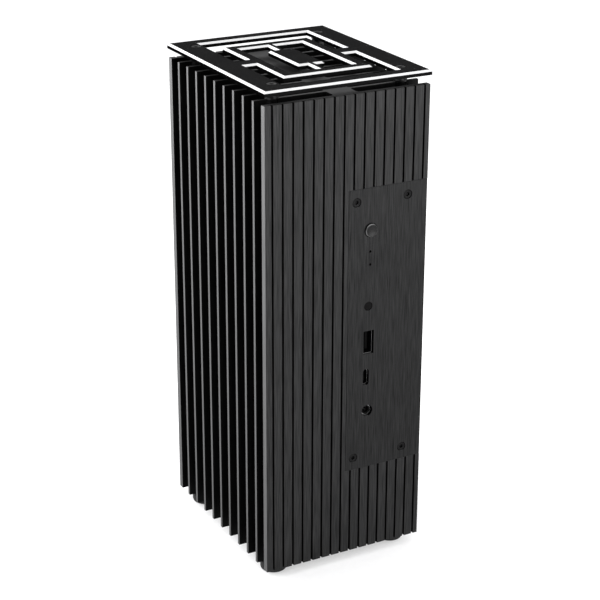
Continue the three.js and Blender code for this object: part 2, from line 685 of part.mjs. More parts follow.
function memorySocket() {
  const end = 1;
  const wall = 0.3;
  const top = MEMORY.bottom + MEMORY.length;
  const frame = box(BOARD_FACE + TOUCH_GAP, BOARD_FACE + 9.8, -2, 5, MEMORY.bottom - end, top + end);
  const grooves = MEMORY_LEVELS.map((level) => box(
    level - FIT_GAP, level + MEMORY.thickness + FIT_GAP, -2 - OVERCUT, 2, MEMORY.bottom - wall, top + wall,
  ));
  return cut(frame, grooves);
}

function memoryModule(level) {
  const face = level + MEMORY.thickness;
  const card = box(
    level, face, MEMORY.edge - MEMORY.width, MEMORY.edge, MEMORY.bottom, MEMORY.bottom + MEMORY.length,
  );
  return join([card, ...chipRow(4, face, MEMORY_CHIP)]);
}

function solidStateDrive() {
  const face = DRIVE.level + DRIVE.thickness;
  const card = box(DRIVE.level, face, DRIVE.near, DRIVE.far, DRIVE.bottom, DRIVE.top);
  return join([card, ...chipRow(3, face, DRIVE_CHIP)]);
}

function boardScrew(y, up) {
  const seat = BOARD_FACE + TOUCH_GAP;
  const shank = bar("x", y, BOARD_MIDDLE + up, 1.2, 2, seat + 0.5, 12);
  const head = bar("x", y, BOARD_MIDDLE + up, 2.2, seat, seat + 1.6, 12);
  const socket = bar("x", y, BOARD_MIDDLE + up, 0.9, seat + 0.7, seat + 3, 6);
  return shank.add(head).subtract(socket);
}

// ---- the whole object --------------------------------------------------------------------------------
addPart("heatsink_body", "black_anodised", heatsinkBody());
addPart("side_cover", "black_anodised", sideCover());
addPart("front_port_plate", "black_anodised", frontPortPlate());
addPart("rear_port_plate", "black_anodised", rearPortPlate());
addPart("lid", "black_lid", lid());

fourCorners(BOSS_X, BOSS_Y).forEach(([x, y], index) => {
  const number = index + 1;
  const screw = countersunkScrew(LID_SCREW.head, LID_SCREW.shank, LID_SCREW.length);
  addPart(`lid_spacer_${number}`, "black_steel", spacer(x, y));
  addPart(`lid_screw_${number}`, "black_steel", screw.translate([x, y, LID_TOP - LID_SCREW.sunk]));
  addPart(`foot_${number}`, "rubber", foot(x, y));
  addPart(`foot_screw_${number}`, "steel", footScrew(x, y));
});

portScrewPlaces().forEach(([x, z], index) => {
  const screw = intoFront(countersunkScrew(PORT_SCREW.head, PORT_SCREW.shank, PORT_SCREW.length), x, z,
    PORT_SCREW.sunk);
  addPart(`front_plate_screw_${index + 1}`, "black_steel", screw);
  addPart(`rear_plate_screw_${index + 1}`, "black_steel", mirrorToBack(screw));
});

addPart("power_button", "black_anodised", powerButton());
addPart("power_switch_plunger", "black_plastic", switchPlunger());
addPart("power_switch_body", "black_plastic", switchBody());
addPart("power_switch_board", "board_green", switchBoard());
BUTTON_STUDS.forEach((up, index) => {
  addPart(`power_switch_screw_${index + 1}`, "steel", switchBoardScrew(up));
});
addPart("infrared_window", "smoked_plastic", infraredWindow());
addPart("infrared_receiver", "black_plastic", infraredReceiver());
LIGHT_PIPES.forEach((place, index) => {
  addPart(`light_pipe_${index + 1}`, "clear_plastic", lightPipe(place));
});

addPart("front_usb_a_socket", "steel", usbASocket(FRONT_USB_A));
addPart("front_usb_c_socket", "steel", usbCSocket(FRONT_USB_C));
addPart("front_audio_socket", "black_plastic", audioSocket(AUDIO));
addPart("rear_dc_inlet", "black_plastic", mirrorToBack(dcInlet(DC_INLET)));
addPart("rear_hdmi_socket", "steel", mirrorToBack(hdmiSocket(HDMI)));
addPart("rear_lan_socket", "steel", mirrorToBack(lanSocket(LAN)));
addPart("rear_usb_a_sockets", "steel", mirrorToBack(usbAStack(REAR_USB_A)));
addPart("rear_usb_c_socket", "steel", mirrorToBack(usbCSocket(REAR_USB_C)));
AERIAL_PLUGS.forEach((place, index) => {
  addPart(`aerial_hole_plug_${index + 1}`, "rubber", aerialPlug(place));
});

addPart("mainboard", "board_green", mainboard());
addPart("processor", "silicon", processor());
addPart("memory_socket", "black_plastic", memorySocket());
MEMORY_LEVELS.forEach((level, index) => {
  addPart(`memory_module_${index + 1}`, "board_green", memoryModule(level));
});
addPart("solid_state_drive", "board_green", solidStateDrive());
fourCorners(BOARD_HOLE, BOARD_HOLE).forEach(([y, up], index) => {
  addPart(`mainboard_screw_${index + 1}`, "steel", boardScrew(y, up));
});

export default group;
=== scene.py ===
"""Looks of a finned fanless tower computer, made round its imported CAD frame.

Metres, X along the ribbed front, Y to the back, Z up, origin on the floor under the middle.
Places come from the frame's boxes. Sizes of what the frame doesn't hold are named where they are used.
"""
import math

import bmesh
import bpy
from mathutils import Matrix, Vector


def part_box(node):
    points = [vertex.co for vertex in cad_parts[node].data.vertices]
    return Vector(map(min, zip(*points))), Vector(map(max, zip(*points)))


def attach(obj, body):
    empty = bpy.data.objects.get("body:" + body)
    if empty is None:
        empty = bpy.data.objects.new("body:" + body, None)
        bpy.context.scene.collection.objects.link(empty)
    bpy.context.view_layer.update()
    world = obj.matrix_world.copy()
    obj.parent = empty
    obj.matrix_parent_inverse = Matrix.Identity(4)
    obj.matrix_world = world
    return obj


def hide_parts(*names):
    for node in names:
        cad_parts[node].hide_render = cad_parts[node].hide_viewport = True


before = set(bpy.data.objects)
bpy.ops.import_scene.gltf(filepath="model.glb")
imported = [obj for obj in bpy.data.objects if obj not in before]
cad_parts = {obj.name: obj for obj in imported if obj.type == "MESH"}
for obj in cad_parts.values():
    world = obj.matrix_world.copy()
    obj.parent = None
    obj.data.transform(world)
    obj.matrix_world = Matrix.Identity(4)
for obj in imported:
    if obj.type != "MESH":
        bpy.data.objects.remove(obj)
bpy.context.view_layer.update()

MM = 0.001

# How finely round shapes are drawn, and the angle from which an edge between two faces is sharp.
RING_POINTS = 48
BLOCK_RING_POINTS = 16
CURVE_STEPS = 3
SMOOTH_ANGLE = math.radians(32)
# The largest share of a side that the curve at one of its ends may use up.
CURVE_SHARE = 0.45
# Places closer than this are the same.
NEAR = 0.05 * MM
# Nearly all the values of a noise texture lie between these.
NOISE_LOW, NOISE_HIGH = 0.3, 0.7

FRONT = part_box("heatsink_body")[0].y
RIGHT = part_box("heatsink_body")[1].x
# How far the sockets' mouths are behind the port plates' faces.
MOUTH_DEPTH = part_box("front_usb_a_socket")[0].y - FRONT

CORNERS = (1, 2, 3, 4)

scene = bpy.context.scene


# ---- camera and light ------------------------------------------------------------------------
CAMERA_PLACE = (-0.4139, -0.77735, 0.4885)
CAMERA_AZIMUTH = math.radians(28.19)
CAMERA_DIP = math.radians(21.82)
CAMERA_ROLL = math.radians(0.13)
CAMERA_LENS = 103.04
CAMERA_SENSOR = 36
CAMERA_NEAR_CLIP = 0.01

# The sky's strength low down and overhead, and the sines of the elevations between which it changes.
SKY_LOW = 0.22
SKY_HIGH = 2.75
SKY_FROM = 0.3
SKY_TO = 0.9

# Each softbox's place, width, height and power. Both face the upper part of the case.
SOFTBOXES = {
    "left_back_softbox": ((-0.46, 0.63, 0.46), 0.7, 0.7, 12),
    "front_right_softbox": ((0.36, -0.78, 0.42), 0.6, 0.7, 5),
}
SOFTBOX_AIM = (0, 0, 0.25)


def add_camera():
    level = Vector((math.cos(CAMERA_AZIMUTH), -math.sin(CAMERA_AZIMUTH), 0))
    forward = Vector((
        math.sin(CAMERA_AZIMUTH) * math.cos(CAMERA_DIP),
        math.cos(CAMERA_AZIMUTH) * math.cos(CAMERA_DIP),
        -math.sin(CAMERA_DIP),
    ))
    upward = level.cross(forward)
    right = level * math.cos(CAMERA_ROLL) + upward * math.sin(CAMERA_ROLL)
    up = right.cross(forward)
    turn = Matrix((right, up, -forward)).transposed().to_4x4()
    camera = bpy.data.objects.new("camera", bpy.data.cameras.new("camera"))
    camera.data.sensor_width = CAMERA_SENSOR
    camera.data.lens = CAMERA_LENS
    camera.data.clip_start = CAMERA_NEAR_CLIP
    camera.matrix_world = Matrix.Translation(CAMERA_PLACE) @ turn
    scene.collection.objects.link(camera)
    scene.camera = camera


# A dome that is dim near the horizon and bright overhead.
def add_sky():
    world = bpy.data.worlds.new("studio_dome")
    world.use_nodes = True
    scene.world = world
    tree = Nodes(world.node_tree)
    direction = tree.add("ShaderNodeTexCoord").outputs["Generated"]
    height = tree.add("ShaderNodeSeparateXYZ", Vector=direction).outputs["Z"]
    strength = tree.map_range(height, SKY_FROM, SKY_TO, SKY_LOW, SKY_HIGH)
    background = tree.add("ShaderNodeBackground", Strength=strength)
    tree.add("ShaderNodeOutputWorld", Surface=background.outputs[0])


def add_softbox(name, place, width, height, power):
    light = bpy.data.lights.new(name, "AREA")
    light.shape = "RECTANGLE"
    light.size = width
    light.size_y = height
    light.energy = power
    lamp = bpy.data.objects.new(name, light)
    scene.collection.objects.link(lamp)
    aim = (Vector(SOFTBOX_AIM) - Vector(place)).to_track_quat("-Z", "Y")
    lamp.matrix_world = Matrix.Translation(place) @ aim.to_matrix().to_4x4()


# ---- node helper -----------------------------------------------------------------------------
class Nodes:
    """A node tree to build from: inputs are given by name, as a value or as another node's socket."""

    def __init__(self, node_tree):
        self.tree = node_tree
        self.tree.nodes.clear()

    def add(self, kind, settings=None, **inputs):
        node = self.tree.nodes.new(kind)
        for key, value in (settings or {}).items():
            setattr(node, key, value)
        for key, value in inputs.items():
            self.put(node.inputs[key.replace("_", " ")], value)
        return node

    def put(self, socket, value):
        if isinstance(value, bpy.types.NodeSocket):
            self.tree.links.new(value, socket)
        else:
            socket.default_value = value

    def map_range(self, value, from_min, from_max, to_min, to_max):
        node = self.add("ShaderNodeMapRange")
        for socket, given in zip(node.inputs, (value, from_min, from_max, to_min, to_max)):
            self.put(socket, given)
        return node.outputs[0]

    # Noise in the object's own space, with features of the given size along X, Y and Z.
    def noise(self, size, detail):
        coordinates = self.add("ShaderNodeTexCoord").outputs["Object"]
        scale = tuple(1 / side for side in size)
        scaled = self.add("ShaderNodeMapping", Vector=coordinates, Scale=scale).outputs[0]
        texture = self.add("ShaderNodeTexNoise", Vector=scaled, Scale=1.0, Detail=detail, Roughness=0.55)
        return texture.outputs["Fac"]

    def blend(self, factor, dark, light):
        node = self.add("ShaderNodeMix", {"data_type": "RGBA"})
        first_factor, first_colour, second_colour = (node.inputs[index] for index in (0, 6, 7))
        self.put(first_factor, factor)
        self.put(first_colour, (*dark, 1))
        self.put(second_colour, (*light, 1))
        return node.outputs[2]

    def bump(self, height, strength, distance):
        node = self.add("ShaderNodeBump", Height=height, Strength=strength, Distance=distance)
        return node.outputs[0]


# ---- materials -------------------------------------------------------------------------------
def grey(value):
    return (value, value, value * 1.01)


# Feature sizes in millimetres along X, Y and Z, or the same along all three.
def grain_mm(x, y, z):
    return (x * MM, y * MM, z * MM)


def even_mm(size):
    return grain_mm(size, size, size)


def new_material(
    name, dark, light, rough, grain, metallic=0.0, bump=0.1, bump_size=0.02 * MM,
    patch=even_mm(30), patchy=0.5, edge=None, **settings,
):
    """A finish whose colour, roughness and relief all follow one grain, with slow patches over it.

    rough is the roughness where it is dark and where it is light. grain and patch are feature sizes
    along X, Y and Z, patchy is the patches' share, and edge is the tint seen at a grazing angle.
    """
    material = bpy.data.materials.new(name)
    material.use_nodes = True
    tree = Nodes(material.node_tree)
    fine = tree.noise(grain, detail=3.0)
    slow = tree.noise(patch, detail=2.0)
    stretched = tree.map_range(fine, NOISE_LOW, NOISE_HIGH, -patchy / 2, 1 - patchy / 2)
    mix = tree.add("ShaderNodeMath", {"operation": "MULTIPLY_ADD"})
    for socket, given in zip(mix.inputs, (slow, patchy, stretched)):
        tree.put(socket, given)
    mixed = mix.outputs[0]
    shader = tree.add(
        "ShaderNodeBsdfPrincipled",
        Base_Color=tree.blend(mixed, dark, light),
        Metallic=metallic,
        Roughness=tree.map_range(mixed, 0.0, 1.0, rough[0], rough[1]),
        Normal=tree.bump(fine, bump, bump_size),
    )
    if edge is not None:
        shader.inputs["Specular Tint"].default_value = (edge, edge, edge, 1)
    for key, value in settings.items():
        shader.inputs[key.replace("_", " ")].default_value = value
    tree.add("ShaderNodeOutputMaterial", Surface=shader.outputs[0])
    return material


def case_materials():
    along_z = grain_mm(0.38, 0.38, 34)
    streak_relief = 0.03 * MM
    return {
        # brushed along the extrusion, then anodised
        "brushed": new_material(
            "brushed_anodised", grey(0.014), grey(0.046), (0.36, 0.5), grain_mm(0.26, 0.26, 14),
            metallic=1.0, bump=0.25, bump_size=streak_relief, patchy=0.1, edge=0.35),
        # the port plates, brushed a little darker and more evenly
        "plate": new_material(
            "brushed_plate", grey(0.011), grey(0.0365), (0.36, 0.48), grain_mm(0.27, 0.27, 14),
            metallic=1.0, bump=0.2, bump_size=streak_relief, patchy=0.1, edge=0.35),
        # the fins' outer edges, lighter than the faces as a painted highlight
        "fin_edge_highlight": new_material(
            "fin_edge_painted_highlight", grey(0.105), grey(0.15), (0.4, 0.5), along_z,
            metallic=1.0, bump=0.15, edge=0.6),
        # the walls between the fins and the bottoms of the grooves: a matt extruded finish, darkened as
        # painted shade
        "extruded_shade": new_material(
            "extruded_anodised_painted_shade", grey(0.008), grey(0.014), (0.5, 0.62), along_z,
            metallic=1.0, bump=0.2, edge=0.2),
        # saw cut ends of the extrusion
        "sawn": new_material(
            "sawn_anodised", grey(0.065), grey(0.115), (0.62, 0.75), grain_mm(6, 0.25, 6),
            metallic=1.0, bump=0.3, edge=0.5),
        # the lid's top, blasted before it was anodised
        "lid": new_material(
            "blasted_anodised", grey(0.025), grey(0.036), (0.42, 0.52), even_mm(0.12),
            metallic=1.0, bump=0.25, edge=0.15),
        # the lid's upright walls and underside, darkened as painted shade
        "lid_wall_shade": new_material(
            "anodised_wall_painted_shade", grey(0.004), grey(0.008), (0.5, 0.6), grain_mm(4, 4, 0.2),
            metallic=1.0, bump=0.2, edge=0.2),
        # the lid's chamfers, cut after it was anodised
        "machined": new_material(
            "machined_aluminium", grey(0.58), grey(0.68), (0.6, 0.7), even_mm(0.2),
            metallic=0.4, bump=0.06),
    }


def metal_materials():
    return {
        "button": new_material(
            "turned_button", grey(0.018), grey(0.03), (0.3, 0.4), even_mm(0.25),
            metallic=1.0, bump=0.2, edge=0.4),
        # a painted highlight on the chamfer round the button's cap
        "button_edge_highlight": new_material(
            "button_chamfer_painted_highlight", grey(0.1), grey(0.14), (0.3, 0.4), even_mm(0.25), metallic=1.0),
        "black_steel": new_material(
            "black_oxide_steel", grey(0.005), grey(0.013), (0.34, 0.48), even_mm(0.2),
            metallic=0.9, bump=0.15),
        "post": new_material(
            "turned_black_post", grey(0.04), grey(0.06), (0.34, 0.46), grain_mm(2, 2, 0.2),
            metallic=1.0, bump=0.15),
        "lid_screw": new_material(
            "rubbed_black_screw", grey(0.035), grey(0.065), (0.3, 0.42), even_mm(0.3),
            metallic=1.0, bump=0.15),
        "steel": new_material(
            "zinc_plated_steel", grey(0.5), grey(0.68), (0.22, 0.38), even_mm(0.3), metallic=1.0),
        "socket_steel": new_material(
            "nickel_plated_shell", grey(0.26), grey(0.34), (0.3, 0.42), grain_mm(0.3, 2, 0.3),
            metallic=1.0),
        # the strip steel inside a socket's shell, where hardly any light gets in
        "socket_dark": new_material(
            "shaded_strip_steel", grey(0.012), grey(0.02), (0.45, 0.55), grain_mm(0.3, 0.3, 2),
            metallic=1.0),
        # gold contacts, darker than bare gold as painted shade deep inside the sockets
        "gold": new_material(
            "shaded_gold_contacts", (0.4, 0.25, 0.07), (0.55, 0.36, 0.12), (0.25, 0.38), even_mm(0.2),
            metallic=1.0, bump=0.08),
    }


def other_materials():
    return {
        "rubber": new_material(
            "moulded_rubber", grey(0.008), grey(0.018), (0.72, 0.9), even_mm(0.25), bump=0.4,
            Specular_IOR_Level=0.35),
        "plastic": new_material(
            "black_plastic", grey(0.003), grey(0.006), (0.5, 0.62), even_mm(0.15), bump=0.25,
            Specular_IOR_Level=0.05),
        "window": new_material(
            "smoked_window", grey(0.001), grey(0.002), (0.3, 0.4), even_mm(0.3), bump=0.05,
            Specular_IOR_Level=0.06),
        "light_pipe": new_material(
            "frosted_light_pipe", grey(0.01), grey(0.02), (0.4, 0.5), even_mm(0.15),
            Specular_IOR_Level=0.2),
        "board": new_material(
            "solder_mask", (0.004, 0.02, 0.01), (0.01, 0.045, 0.022), (0.3, 0.45),
            grain_mm(3, 0.6, 0.6), bump=0.3, Coat_Weight=0.3),
        "silicon": new_material(
            "chip_package", grey(0.03), grey(0.055), (0.2, 0.4), even_mm(0.4),
            metallic=0.3, bump=0.15),
    }


# ---- floor -----------------------------------------------------------------------------------
FLOOR_HALF = 6.0


# A light table: pale, and lit evenly from below, so that shadows on it stay faint.
def floor_material():
    return new_material(
        "pale_light_table", grey(0.5), grey(0.53), (0.75, 0.9), even_mm(4), bump=0.05,
        patch=even_mm(400), Emission_Color=(1, 1, 1, 1), Emission_Strength=0.45)


def add_floor():
    mesh = bmesh.new()
    corners = [
        mesh.verts.new((x * FLOOR_HALF, y * FLOOR_HALF, 0))
        for x, y in ((-1, -1), (1, -1), (1, 1), (-1, 1))
    ]
    mesh.faces.new(corners)
    data = bpy.data.meshes.new("studio_floor")
    mesh.to_mesh(data)
    mesh.free()
    data.materials.append(floor_material())
    floor = bpy.data.objects.new("studio_floor", data)
    scene.collection.objects.link(floor)


# ---- places ----------------------------------------------------------------------------------
def box_centre(node):
    low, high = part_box(node)
    return (low + high) / 2


def half_width(node):
    low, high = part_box(node)
    return (high.x - low.x) / 2


# Local frames for pieces that stand on a face: X and Y lie in the face, Z points out of it.
# side is 1 on the front face and -1 on the back face, which is its mirror image.
def face_frame(x, z, side, sunk):
    axes = Matrix(((1, 0, 0), (0, 0, -side), (0, 1, 0))).to_4x4()
    return Matrix.Translation((x, side * (FRONT + sunk), z)) @ axes


def on_face(node, side, sunk=0.0):
    centre = box_centre(node)
    return face_frame(centre.x, centre.z, side, sunk)


def on_column(node, height):
    centre = box_centre(node)
    return Matrix.Translation((centre.x, centre.y, height))


# ---- rings of points -------------------------------------------------------------------------
def ring(radius, height, sides=0):
    """A circle of points, or a polygon with the given number of sides and that inner radius."""
    points = []
    for index in range(RING_POINTS):
        angle = 2 * math.pi * index / RING_POINTS
        reach = radius
        if sides:
            sector = 2 * math.pi / sides
            reach = radius / math.cos((angle + sector / 2) % sector - sector / 2)
        points.append(Vector((reach * math.cos(angle), reach * math.sin(angle), height)))
    return points


def rings_along(profile):
    return [ring(radius, height) for radius, height in profile]


def rounded_box_ring(width, depth, radius, height, centre=(0, 0), count=RING_POINTS):
    """The points of a rounded rectangle about the given centre."""
    quarter = count // 4
    points = []
    for corner, (side_x, side_y) in enumerate(((1, 1), (-1, 1), (-1, -1), (1, -1))):
        x = centre[0] + side_x * (width / 2 - radius)
        y = centre[1] + side_y * (depth / 2 - radius)
        for step in range(quarter):
            angle = math.pi / 2 * (corner + (step + 0.5) / quarter)
            points.append(Vector((x + radius * math.cos(angle), y + radius * math.sin(angle), height)))
    return points


def box_ring(low, high, height):
    """The points of a rectangle about the origin, one on each ray of a ring."""
    parallel = 1e-6
    points = []
    for ray in ring(1, height):
        reach = min(
            (high[axis] if ray[axis] > 0 else low[axis]) / ray[axis]
            for axis in (0, 1)
            if abs(ray[axis]) > parallel
        )
        points.append(Vector((ray.x * reach, ray.y * reach, height)))
    return points


def rounded(profile, radius):
    """The profile with each inner corner turned into a small curve."""
    points = [Vector(profile[0])]
    for before, corner, after in zip(profile, profile[1:], profile[2:]):
        before, corner, after = Vector(before), Vector(corner), Vector(after)
        arm = min(radius, (before - corner).length * CURVE_SHARE, (after - corner).length * CURVE_SHARE)
        start = corner + (before - corner).normalized() * arm
        end = corner + (after - corner).normalized() * arm
        for step in range(CURVE_STEPS + 1):
            t = step / CURVE_STEPS
            points.append(start * (1 - t) ** 2 + corner * 2 * t * (1 - t) + end * t ** 2)
    points.append(Vector(profile[-1]))
    return points


# ---- meshes and pieces -----------------------------------------------------------------------
def loft(mesh, rings, material=0, closed=False, inside=None, inside_from=0.0):
    """Skins a run of rings with equally many points. Open ends are capped unless the run is closed.

    Past the middle of the run, faces that reach below the height inside_from take the inside material.
    """
    rows = [[mesh.verts.new(point) for point in points] for points in rings]
    count = len(rows[0])
    following = rows[1:] + rows[:1] if closed else rows[1:]
    faces = []
    for row, next_row in zip(rows, following):
        for index in range(count):
            after = (index + 1) % count
            faces.append(mesh.faces.new((row[index], row[after], next_row[after], next_row[index])))
    if not closed:
        faces.append(mesh.faces.new(reversed(rows[0])))
        faces.append(mesh.faces.new(rows[-1]))
    for face in faces:
        face.material_index = material
    if inside is not None:
        for face in faces[len(faces) // 2:]:
            if face.calc_center_median().z < inside_from:
                face.material_index = inside


def block(mesh, low, high, soften, material):
    """A box with softened edges along its third axis and at both ends."""
    width, depth = high[0] - low[0], high[1] - low[1]
    centre = ((low[0] + high[0]) / 2, (low[1] + high[1]) / 2)
    radius = min(soften, width * CURVE_SHARE, depth * CURVE_SHARE)
    end_inset = radius * 0.7
    least_radius = radius * 0.2
    levels = [
        (end_inset, low[2]), (0, low[2] + radius),
        (0, high[2] - radius), (end_inset, high[2]),
    ]
    rings = [
        rounded_box_ring(
            width - 2 * inset, depth - 2 * inset, max(radius - inset, least_radius), height,
            centre, BLOCK_RING_POINTS)
        for inset, height in levels
    ]
    loft(mesh, rings, material)


def finish_piece(name, mesh, place, materials, stands_for, body="chassis"):
    """Turns a bmesh drawn in a local frame into a piece that rides on a body."""
    bmesh.ops.transform(mesh, matrix=place, verts=mesh.verts)
    bmesh.ops.recalc_face_normals(mesh, faces=mesh.faces)
    data = bpy.data.meshes.new(name)
    mesh.to_mesh(data)
    mesh.free()
    for material in materials:
        data.materials.append(MATERIALS[material])
    data.shade_smooth()
    data.set_sharp_from_angle(angle=SMOOTH_ANGLE)
    piece = bpy.data.objects.new(name, data)
    scene.collection.objects.link(piece)
    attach(piece, body)
    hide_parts(*stands_for)


def turned_piece(name, profile, place, material, stands_for, soften, closed=False):
    if closed:
        outline = rounded([*profile, profile[0]], soften)[:-1]
    else:
        outline = rounded(profile, soften)
    mesh = bmesh.new()
    loft(mesh, rings_along(outline), closed=closed)
    finish_piece(name, mesh, place, [material], stands_for)


# ---- CAD nodes that stay ---------------------------------------------------------------------
# The least share of a face's normal that points along an axis, where the face is square to that
# axis and where it slants.
SQUARE = 0.9
SLANTED = 0.5

# The materials that case_face and lid_face pick from.
CASE = ["brushed", "extruded_shade", "sawn", "fin_edge_highlight"]
PLATE = ["plate", "extruded_shade", "sawn", "fin_edge_highlight"]
FACE, EXTRUDED_SHADE, SAWN, FIN_EDGE_HIGHLIGHT = 0, 1, 2, 3
LID = ["lid", "machined", "lid_wall_shade"]
TOP, CHAMFER, WALL = 0, 1, 2
# A chamfer closer to a lid screw than this is its countersink, which was anodised with the lid.
COUNTERSINK_REACH = 5 * MM


def soften_edges(node, width):
    """Rounds the edges of a CAD node without touching its own mesh."""
    weld = node.modifiers.new("weld", "WELD")
    weld.merge_threshold = 1e-6
    merge = node.modifiers.new("flat_faces", "DECIMATE")
    merge.decimate_type = "DISSOLVE"
    merge.angle_limit = math.radians(0.5)
    merge.delimit = {"MATERIAL"}
    bevel = node.modifiers.new("edge_radius", "BEVEL")
    bevel.width = width
    bevel.segments = 2
    bevel.limit_method = "ANGLE"
    bevel.angle_limit = math.radians(28)
    bevel.use_clamp_overlap = True
    shade = node.modifiers.new("even_shading", "WEIGHTED_NORMAL")
    shade.keep_sharp = False
    shade.weight = 80


def dress(name, materials, width, choose=None):
    """Gives a CAD node its materials. choose(normal, centre) picks one of them for each face."""
    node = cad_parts[name]
    node.data.materials.clear()
    for material in materials:
        node.data.materials.append(MATERIALS[material])
    for face in node.data.polygons:
        face.material_index = choose(face.normal, face.center) if choose else 0
        face.use_smooth = True
    soften_edges(node, width)


# Brushed on the front and back, sawn at the ends, with a painted highlight along the fins' outer
# edges, and the rest as extruded and darkened as painted shade.
def case_face(normal, centre):
    if abs(normal.z) > SQUARE:
        return SAWN
    if abs(normal.x) > SQUARE and abs(abs(centre.x) - RIGHT) < NEAR:
        return FIN_EDGE_HIGHLIGHT
    if abs(normal.y) > SQUARE and abs(abs(centre.y) - abs(FRONT)) < NEAR:
        return FACE
    return EXTRUDED_SHADE


# The lid's upright walls and underside take a darker finish, which is painted shade.
def lid_face(normal, centre):
    if abs(normal.z) < SLANTED or normal.z < -SQUARE:
        return WALL
    near_screw = any(
        (centre - box_centre(f"lid_screw_{number}")).xy.length < COUNTERSINK_REACH
        for number in CORNERS
    )
    return CHAMFER if SLANTED < normal.z < SQUARE and not near_screw else TOP


def dress_case():
    extrusion_edge = 0.15 * MM
    plate_edge = 0.08 * MM
    lid_edge = 0.06 * MM
    dress("heatsink_body", CASE, extrusion_edge, case_face)
    dress("side_cover", CASE, extrusion_edge, case_face)
    dress("front_port_plate", PLATE, plate_edge, case_face)
    dress("rear_port_plate", PLATE, plate_edge, case_face)
    dress("lid", LID, lid_edge, lid_face)


# The axis that each board is square to, how far its parts reach past its low side, and its
# thickness.
BOARDS = {
    "mainboard": (0, 2.6 * MM, 1.6 * MM),
    "power_switch_board": (1, 0, 1.2 * MM),
    "solid_state_drive": (0, 0, 0.8 * MM),
    "memory_module_1": (0, 0, 1.2 * MM),
    "memory_module_2": (0, 0, 1.2 * MM),
}
BOARD_EDGE = 0.06 * MM
PART_EDGE = 0.08 * MM


# The bare board is one finish and whatever stands up from it is another.
def dress_board(node, axis, reach, thickness):
    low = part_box(node)[0][axis] + reach

    def board_face(normal, centre):
        return 0 if low - NEAR < centre[axis] < low + thickness + NEAR else 1

    dress(node, ["board", "silicon"], BOARD_EDGE, board_face)


def dress_insides():
    for node, layers in BOARDS.items():
        dress_board(node, *layers)
    dress("processor", ["silicon"], BOARD_EDGE)
    for node in ("memory_socket", "power_switch_plunger", "power_switch_body", "infrared_receiver"):
        dress(node, ["plastic"], PART_EDGE)
    for number in CORNERS:
        dress(f"mainboard_screw_{number}", ["steel"], PART_EDGE)
    for number in (1, 2):
        dress(f"power_switch_screw_{number}", ["steel"], PART_EDGE)


# ---- feet and spacers ------------------------------------------------------------------------
def add_foot(number):
    node = f"foot_{number}"
    radius = half_width(node)
    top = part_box(node)[1].z
    well = 3.4 * MM
    seat = 3.2 * MM
    bore = 1.8 * MM
    profile = [
        (well, 0), (radius - 1.3 * MM, 0), (radius - 0.4 * MM, 0.5 * MM), (radius, 1.6 * MM),
        (radius, top), (bore, top), (bore, seat), (well, seat),
    ]
    turned_piece(
        f"rubber_foot_{number}", profile, on_column(node, 0), "rubber", [node],
        0.5 * MM, closed=True)


def add_foot_screw(number):
    node = f"foot_screw_{number}"
    low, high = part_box(node)
    head = half_width(node)
    head_top = 2 * MM
    shank = 1.4 * MM
    socket = 1.2 * MM
    socket_mouth = 1.35 * MM
    profile = rounded([
        (head * 0.6, 0), (head, 0.25 * MM), (head, head_top), (shank, head_top), (shank, high.z - low.z),
    ], 0.15 * MM)
    hexagon = [ring(socket, 1.1 * MM, 6), ring(socket, 0.1 * MM, 6), ring(socket_mouth, 0)]
    mesh = bmesh.new()
    loft(mesh, hexagon + rings_along(profile))
    finish_piece(
        f"foot_bolt_{number}", mesh, on_column(node, low.z), ["steel"], [node])


def add_spacer(number):
    node = f"lid_spacer_{number}"
    low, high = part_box(node)
    radius = half_width(node)
    height = high.z - low.z
    bore = 1.75 * MM
    waist = radius - 0.25 * MM
    collar = 0.9 * MM
    waist_start = 1.1 * MM
    profile = [
        (bore, 0), (radius, 0), (radius, collar), (waist, waist_start),
        (waist, height - waist_start), (radius, height - collar), (radius, height), (bore, height),
    ]
    turned_piece(
        f"lid_post_{number}", profile, on_column(node, low.z), "post", [node],
        0.2 * MM, closed=True)


# ---- countersunk screws ----------------------------------------------------------------------
LID_SCREW_SHANK = 1.4 * MM
PLATE_SCREW_SHANK = 1.2 * MM


def countersunk_screw(name, place, node, shank, length, material="black_steel"):
    """A countersunk screw whose head's face is at the local frame's origin, with a hexagon socket."""
    head = half_width(node)
    cone = head - shank
    socket = head * 0.45
    depth = cone * 0.9
    soft = 0.12 * MM
    rim = 0.1 * MM
    thread_pitch = 0.5 * MM
    thread_depth = 0.12 * MM
    rings = [
        ring(socket * 0.2, -depth * 1.1), ring(socket, -depth, 6), ring(socket, -soft, 6),
        ring(socket * 1.2, 0), ring(head - soft, 0), ring(head, -rim), ring(shank, -cone),
    ]
    crests = int((length - cone) / thread_pitch)
    for crest in range(1, crests * 2):
        radius = shank - (thread_depth if crest % 2 else 0)
        rings.append(ring(radius, -cone - crest * thread_pitch / 2))
    rings.append(ring(shank * 0.8, -length))
    mesh = bmesh.new()
    loft(mesh, rings)
    finish_piece(name, mesh, place, [material], [node])


def add_lid_screw(number):
    node = f"lid_screw_{number}"
    low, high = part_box(node)
    countersunk_screw(
        f"lid_bolt_{number}", on_column(node, high.z), node, LID_SCREW_SHANK, high.z - low.z,
        "lid_screw")


def add_plate_screw(number, side, face):
    node = f"{face}_plate_screw_{number}"
    low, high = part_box(node)
    sunk = low.y - FRONT if side == 1 else -FRONT - high.y
    countersunk_screw(
        f"{face}_plate_bolt_{number}", on_face(node, side, sunk), node, PLATE_SCREW_SHANK,
        high.y - low.y)


def add_corner_pieces():
    for number in CORNERS:
        add_foot(number)
        add_foot_screw(number)
    for number in CORNERS:
        add_spacer(number)
    for number in CORNERS:
        add_lid_screw(number)
        add_plate_screw(number, 1, "front")
        add_plate_screw(number, -1, "rear")


